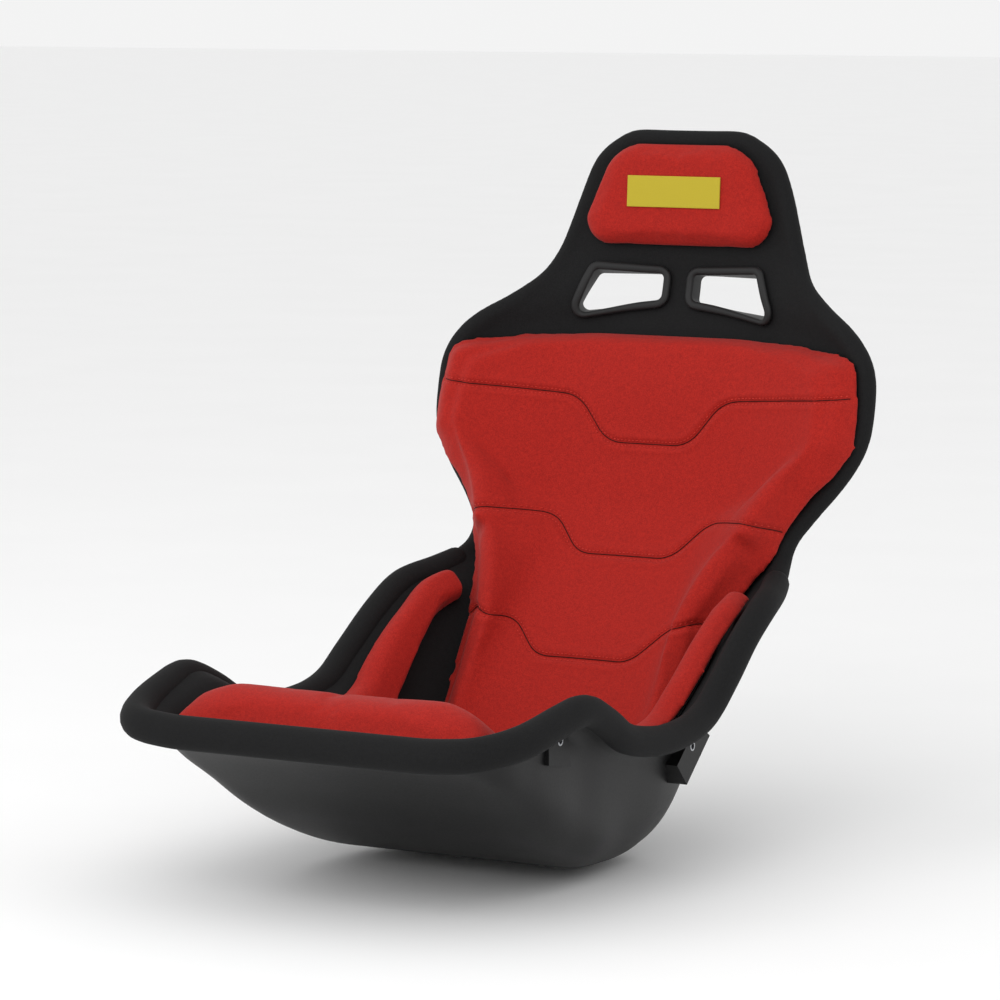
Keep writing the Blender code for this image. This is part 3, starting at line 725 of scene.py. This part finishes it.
def trim_row(a, across):
    t = 10.6 + a * (CROWN - 0.12 - 10.6)
    reach = 1 - 0.004 / half_length(t)
    return lay(t, (2 * across - 1) * reach, LINING_FACE)


sheet = laid_grid("trim_sheet", 130, 100, trim_row)
modify(sheet, "SOLIDIFY", thickness=LINING - 0.001, offset=-1.0)
points, stations = evenly(*rim_loop(TRIM_START))
edge = tube("trim_edge", points, np.full(len(points), 0.0125))
trim = join("upper_trim", sheet, edge)
modify(trim, "REMESH", mode="VOXEL", voxel_size=VOXEL)
modify(trim, "SMOOTH", factor=0.5, iterations=14)
for side in (1, -1):
    cut(trim, slot_tool(HOLE_IN, -0.012, 0.030, side))
finished(trim, black_fabric, "lining_back", "lining_head", "edge_head", slot="lining", smooth=70)

# %% [markdown]
# ## The seat's padded edge and pan lining
# Round the seat the edge is a fat foam roll in its own fabric sleeve, bigger than the edge above, so it
# ends in a step at each hip.

# %% The roll and the pan lining
points, stations = evenly(*lip_loop(12.7))
count = len(points)
ends = np.minimum(np.arange(count), np.arange(count)[::-1]) * 0.006
radius = np.interp(stations, (0, 2, PEAK, 11, 12.7), (0.0180, 0.0180, 0.0165, 0.0158, 0.0150))
radius *= 1 - 0.35 * (1 - np.clip(ends / 0.012, 0, 1)) ** 2
roll = tube("edge_roll", points, radius, 7)
finished(roll, black_fabric, "edge_front", "edge_left", "edge_right", slot="edge", smooth=70)


def pan_row(a, across):
    t = MIDDLE.station(0.015) + a * (10.75 - MIDDLE.station(0.015))
    reach = 1 - 0.006 / half_length(t)
    return lay(t, (2 * across - 1) * reach, LINING_FACE)


pan = laid_grid("pan_lining", 110, 100, pan_row)
modify(pan, "SOLIDIFY", thickness=LINING - 0.0005, offset=-1.0)
finished(pan, black_fabric, "lining_pan", slot="lining")

# %% [markdown]
# ## The belt slot bezels
# Each slot has a moulded ring that clamps the lining and lets the belt slide. A torus has the right net
# of faces for a ring, so its long way round is laid along the slot's outline and its short way round
# along the profile.

# %% Bezels
SEAT = LINING_FACE + 0.0004
RING_TOP = LINING_FACE + 0.0075
TUBE_END = -0.0052
TUBE_WALL = 0.0025


def bezel_profile(steps=24):
    """(inset, height) round the ring's section: a rounded bead on a thin tube."""
    bead = SLOT_RING / 2
    points = []
    for angle in np.linspace(0, 2 * math.pi, steps, endpoint=False):
        inset = bead + bead * math.cos(angle)
        height = SEAT + (RING_TOP - SEAT) * (0.5 + 0.5 * math.sin(angle))
        if math.sin(angle) < -0.2 and inset > bead:
            height = TUBE_END
            inset = SLOT_RING if math.cos(angle) > 0.6 else SLOT_RING - TUBE_WALL
        points.append((inset, height))
    return points


def bezel(name, side, node):
    profile = bezel_profile()
    rings = np.array([slot_ring(inset, height, side) for inset, height in profile])
    alone(None)
    bpy.ops.mesh.primitive_torus_add(
        major_segments=rings.shape[1], minor_segments=len(profile), major_radius=2, minor_radius=1
    )
    ring = bpy.context.object
    ring.name = name
    co = vertices(ring)
    major = turns(co[:, 0], co[:, 1], rings.shape[1])
    minor = turns(np.hypot(co[:, 0], co[:, 1]) - 2, co[:, 2], len(profile))
    set_vertices(ring, rings[minor, major])
    in_edit(ring, merge, outwards)
    finished(ring, bezel_plastic, node, slot="bezel", smooth=50)


bezel("bezel_left", 1, "slot_bezel_left")
bezel("bezel_right", -1, "slot_bezel_right")

# %% [markdown]
# ## Cushions
# Every cushion is a foam core in a sewn cover. It starts as a solid on the form, a little under its real
# size, with rounded sides. Remeshed to an even net it is blown up as cloth under a little pressure, which
# gives the crown and the soft corners that a cut block of foam takes in its cover. The back stays flat on
# the lining.

# %% A cushion's solid


def rounded_side(distance, radius):
    near = np.clip(distance / radius, 0.0, 1.0)
    return np.sqrt(1 - (1 - near) ** 2)


def corner_inset(distance, radius):
    return radius - np.sqrt(np.maximum(radius**2 - (radius - np.minimum(distance, radius)) ** 2, 0.0))


def cushion_solid(
    name, track, half_width, height, side, corners, across=share_at, upright=False, counts=(90, 70)
):
    """A closed solid: half_width is a function of the share along, height of the shares along and across."""

    def row(a, columns, top):
        eased = 0.5 - 0.5 * math.cos(math.pi * a)
        along = track.whole * eased
        end = min(along, track.whole - along)
        t = track.station(along)
        half = half_width(eased) - float(corner_inset(end, corners))
        spots = -half * np.cos(math.pi * columns)
        shares = across(t, spots)
        low = lay(t, shares, PAD_BACK)
        if not top:
            return low
        left = rounded_side(half - np.abs(spots), min(side, 0.9 * half)) * rounded_side(end, side)
        thick = height(eased, np.abs(spots) / half) * left
        way = facing(t, np.zeros(1)) if upright else facing(t, shares)
        return low + thick[:, None] * way

    front = laid_grid(name, *counts, lambda a, columns: row(a, columns, True))
    back = laid_grid(name + "_back", *counts, lambda a, columns: row(a, columns, False))
    solid = join(name, front, back)
    in_edit(solid, merge, outwards)
    return solid


def even_height(height):
    return lambda a, out: np.full(len(out), height)


# %% Blow a cushion up


def swell(piece, voxel, cap, pressure=4.0, frames=20, held=0.012):
    """Remeshes a cushion, blows it up as cloth, and keeps each point within cap of where it was."""
    modify(piece, "REMESH", mode="VOXEL", voxel_size=voxel)
    modify(piece, "SMOOTH", factor=0.5, iterations=3)
    before = vertices(piece)
    alone(piece)
    cloth = piece.modifiers.new("cloth", "CLOTH")
    cloth.settings.quality = 4
    cloth.settings.mass = 0.3
    cloth.settings.tension_stiffness = 12
    cloth.settings.compression_stiffness = 12
    cloth.settings.bending_stiffness = 0.6
    cloth.settings.use_pressure = True
    cloth.settings.uniform_pressure_force = pressure
    cloth.settings.effector_weights.gravity = 0.0
    cloth.point_cache.frame_start = 1
    cloth.point_cache.frame_end = frames
    for number in range(1, frames + 1):
        bpy.context.scene.frame_set(number)
    blown = piece.evaluated_get(bpy.context.evaluated_depsgraph_get())
    moved = vertices(blown) - before
    piece.modifiers.remove(cloth)
    bpy.context.scene.frame_set(1)
    size = np.linalg.norm(moved, axis=1)
    moved *= np.minimum(1.0, cap / np.maximum(size, 1e-9))[:, None]
    moved *= np.clip(back_distance(before) / held, 0.0, 1.0)[:, None]
    set_vertices(piece, before + moved)
    print(piece.name, "swelled by up to", round(1000 * float(np.max(size)), 1), "mm, kept to", 1000 * cap)


def back_tree():
    """The lining's face, to measure cushions from."""
    points, faces = [], []
    for piece in (trim, pan):
        start = len(points)
        points += [tuple(p) for p in vertices(piece)]
        faces += [tuple(start + v for v in face.vertices) for face in piece.data.polygons]
    return BVHTree.FromPolygons(points, faces)


LINING_TREE = back_tree()


def back_distance(points):
    """How far points stand off the lining."""
    found = [LINING_TREE.find_nearest(Vector(point)) for point in points]
    return np.array([spot[3] for spot in found]) - (PAD_BACK - LINING_FACE)


def finer(piece):
    modify(piece, "SUBSURF", levels=1, render_levels=1)
    modify(piece, "SMOOTH", factor=0.5, iterations=7)


# %% [markdown]
# ### Seams
# A seam pulls the cover down into the foam in a narrow valley, with a row of stitches each side. The
# cover's points near the seam's line, seen from the front, are drawn in. The stitches are small grains of
# thread, one shape copied along the line and pressed onto the cover.

# %% Seams and stitches


def distances_to(line, spots):
    """The distance from each (X, Z) to a polyline."""
    best = np.full(len(spots), 1.0)
    for start, end in zip(line, line[1:]):
        way = end - start
        share = np.clip((spots - start) @ way / (way @ way), 0, 1)
        best = np.minimum(best, np.linalg.norm(start + share[:, None] * way - spots, axis=1))
    return best


def smooth_line(corners, steps=10, share=0.32):
    return rounded(np.array(corners, float), share, steps)


def press_seam(piece, line, depth, width, ridge=0.0):
    co = vertices(piece)
    ways = normals(piece)
    front = np.clip(-1.6 * ways[:, 1] - 0.35, 0, 1)
    d = distances_to(line, co[:, [0, 2]])
    drop = depth * np.exp(-((d / width) ** 2)) - ridge * np.exp(-(((d - 2.2 * width) / width) ** 2))
    set_vertices(piece, co - (drop * front)[:, None] * ways)


def offset_line(line, offset):
    ways = np.gradient(line, axis=0)
    ways /= np.linalg.norm(ways, axis=1)[:, None]
    return line + offset * np.stack([-ways[:, 1], ways[:, 0]], axis=1)


def stitches(name, piece, lines, pitch=0.0048, length=0.0034, thick=0.00065):
    """Grains of thread along lines seen from the front, on the piece's surface."""
    alone(None)
    bpy.ops.mesh.primitive_uv_sphere_add(segments=6, ring_count=4, radius=1)
    grain = bpy.context.object
    shape = (vertices(grain) * (length / 2, thick, thick)).tolist()
    net = [tuple(face.vertices) for face in grain.data.polygons]
    bpy.data.objects.remove(grain, do_unlink=True)
    tree = BVHTree.FromObject(piece, bpy.context.evaluated_depsgraph_get())
    points, faces = [], []
    for line in lines:
        along = np.concatenate([[0], np.cumsum(np.linalg.norm(np.diff(line, axis=0), axis=1))])
        for spot in np.arange(pitch / 2, along[-1], pitch):
            hits = []
            for at in (spot - length / 2, spot + length / 2):
                x, z = np.interp(at, along, line[:, 0]), np.interp(at, along, line[:, 1])
                hit, normal, _, _ = tree.ray_cast(Vector((x, -1.0, z)), Vector((0, 1, 0)))
                hits.append((hit, normal))
            (first, up), (last, _) = hits
            if first is None or last is None or (last - first).length > 2.5 * length:
                continue
            way = (last - first).normalized()
            out = way.cross(up).normalized()
            rise = out.cross(way)
            middle = (first + last) / 2 + thick * 0.35 * rise
            start = len(points)
            points += [middle + a * way + b * out + c * rise for a, b, c in shape]
            faces += [tuple(start + v for v in face) for face in net]
    data = bpy.data.meshes.new(name)
    data.from_pydata(points, [], faces)
    made = bpy.data.objects.new(name, data)
    bpy.context.scene.collection.objects.link(made)
    return made


def seam_folds(name, piece, lines, step=0.004, radius=0.0007):
    """A thin near-black tube along the bottom of each seam's valley: painted shade where the valley lies in
    shadow.
    """
    tree = BVHTree.FromObject(piece, bpy.context.evaluated_depsgraph_get())
    shade_tubes = []
    for number, line in enumerate(lines):
        along = np.concatenate([[0], np.cumsum(np.linalg.norm(np.diff(line, axis=0), axis=1))])
        path = []
        for spot in np.arange(0, along[-1], step):
            x, z = np.interp(spot, along, line[:, 0]), np.interp(spot, along, line[:, 1])
            hit, normal, _, _ = tree.ray_cast(Vector((x, -1.0, z)), Vector((0, 1, 0)))
            if hit is not None and normal.y < -0.3:
                path.append(hit)
        shade_tubes.append(tube(name + str(number), path, [radius] * len(path), 1))
    return join(name, *shade_tubes)


# %% [markdown]
# ### The back cushion
# It is widest at the shoulders and narrows to the waist, with sides thicker than its middle, which hold
# the driver in a bend. Three seams cross it, each with a notch in the middle.

# %% The back cushion
back_track = Track(0.0, station_at(0.383), HIP - 1.6)


def back_width(a):
    spots = (0, 0.13, 0.22, 0.32, 0.47, 0.63, 0.72, 0.88, 1)
    return float(np.interp(a, spots, (0.268, 0.278, 0.279, 0.259, 0.209, 0.185, 0.174, 0.169, 0.163)))


def back_height(a, out):
    extra = float(np.interp(a, (0, 0.22, 0.47, 0.75, 1), (0.008, 0.014, 0.026, 0.028, 0.012)))
    return 0.024 + extra * np.clip(out / 0.9, 0, 1) ** 2.2


backrest = cushion_solid("back_cushion", back_track, back_width, back_height, 0.018, 0.022, counts=(110, 90))
swell(backrest, 0.0048, 0.005)
finer(backrest)


def both_sides(*left):
    """A seam's corners from the left end, through its middle, to the right end."""
    return smooth_line([*left, *[(-x, z) for x, z in reversed(left)]])


SEAMS = [
    both_sides((0.262, 0.331), (0.093, 0.318), (0.053, 0.266)),
    both_sides((0.200, 0.182), (0.170, 0.194), (0.099, 0.184), (0.060, 0.143)),
    both_sides((0.165, 0.070), (0.144, 0.087), (0.099, 0.075), (0.060, 0.037)),
]
for seam in SEAMS:
    press_seam(backrest, seam, 0.0032, 0.0035, 0.0008)
finished(backrest, red_fabric, "backrest_cover", "backrest_foam", slot="cover", smooth=80)
rows = [offset_line(seam, offset) for seam in SEAMS for offset in (0.0034, -0.0034)]
back_stitches = stitches("back_stitches", backrest, rows)
finished(back_stitches, thread, slot="cover")
# Near-black tubes along the bottoms of the seams' valleys: painted shade.
finished(seam_folds("back_folds", backrest, SEAMS), seam_shade_paint, slot="cover")

# %% [markdown]
# ### The headrest cushion and its patch
# A flatter cushion with big corners at the top. A plain woven patch is sewn across it.

# %% The headrest
head_track = Track(0.0, station_at(0.606), station_at(0.486))


def head_width(a):
    return float(np.interp(a, (0, 0.25, 0.74, 1), (0.082, 0.098, 0.123, 0.121)))


headrest = cushion_solid("head_cushion", head_track, head_width, even_height(0.0165), 0.017, 0.032)
swell(headrest, 0.0035, 0.004)
finer(headrest)
finished(headrest, red_fabric, "headrest_cover", "headrest_foam", slot="cover", smooth=80)


PATCH_LOW, PATCH_HIGH, PATCH_WIDE = 0.534, 0.036, 0.120


def patch_row(a, across):
    tree = BVHTree.FromObject(headrest, bpy.context.evaluated_depsgraph_get())
    z = PATCH_LOW + PATCH_HIGH * a
    places = []
    for x in PATCH_WIDE * (across - 0.5):
        hit, normal, _, _ = tree.ray_cast(Vector((x, -1, z)), Vector((0, 1, 0)))
        places.append(hit + 0.0012 * normal)
    return np.array([tuple(p) for p in places])


patch = laid_grid("woven_patch", 14, 40, patch_row)
modify(patch, "SOLIDIFY", thickness=0.0018, offset=0.0)
modify(patch, "BEVEL", width=0.0004, segments=2, limit_method="ANGLE")
finished(patch, patch_weave, "headrest_patch", slot="patch", smooth=50)

# %% [markdown]
# ### The thigh, base and hip cushions
# The thigh cushion is a bolster behind the front edge. The base cushion lies low behind it. The hip
# cushions lie on the side walls, narrow behind and wider and lower in front.

# %% Thigh and base
thigh_track = Track(0.0, MIDDLE.station(0.026), PEAK - 0.5)


def thigh_height(a, out):
    fall = np.clip((out - 0.62) / 0.38, 0, 1)
    return 0.060 - 0.020 * fall * fall * (3 - 2 * fall)


thigh = cushion_solid("thigh_cushion", thigh_track, lambda a: 0.192, thigh_height, 0.036, 0.034, upright=True)
swell(thigh, 0.0045, 0.004)
finer(thigh)
finished(thigh, red_fabric, "thigh_cover", "thigh_foam", slot="cover", smooth=80)

base_track = Track(0.0, HIP - 2.3, PEAK)
base = cushion_solid("base_cushion", base_track, lambda a: 0.142, even_height(0.025), 0.016, 0.030)
swell(base, 0.0045, 0.004)
finer(base)
finished(base, red_fabric, "base_cover", "base_foam", slot="cover", smooth=80)

# %% Hip cushions


def hip_middle(t):
    """How far down the wall from the rim the cushion's middle line is."""
    spots = (HIP - 4.2, HIP - 3.3, HIP - 1.6, HIP, HIP + 0.8)
    return float(np.interp(t, spots, (0.060, 0.0575, 0.045, 0.036, 0.034)))


def hip_width(a):
    return float(np.interp(a, (0, 0.25, 0.5, 0.8, 1), (0.017, 0.0185, 0.0245, 0.028, 0.025)))


def hip_cushion(name, side, *replaced):
    track = Track(0.93, HIP + 0.8, HIP - 4.2)

    def across(t, d):
        return side * (1 - (hip_middle(t) + d) / half_length(t))

    piece = cushion_solid(name, track, hip_width, even_height(0.0225), 0.010, 0.010, across)
    swell(piece, 0.0035, 0.003)
    finer(piece)
    finished(piece, red_fabric, *replaced, slot="cover", smooth=80)


hip_cushion("hip_cushion_left", 1, "hip_left_cover", "hip_left_foam")
hip_cushion("hip_cushion_right", -1, "hip_right_cover", "hip_right_foam")

# %% [markdown]
# ## What stays as modelled
# The bosses, inserts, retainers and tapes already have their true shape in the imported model, so they only
# get their finishes.

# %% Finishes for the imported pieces
for name, node in nodes.items():
    look = satin_shell
    if name.startswith("insert"):
        look = zinc
    elif name.startswith("slot_retainer"):
        look = bezel_plastic
    elif name.startswith("tape"):
        look = tape_finish
    elif name.endswith("foam"):
        look = foam_finish
    for place in range(len(node.material_slots)):
        node.material_slots[place].material = look
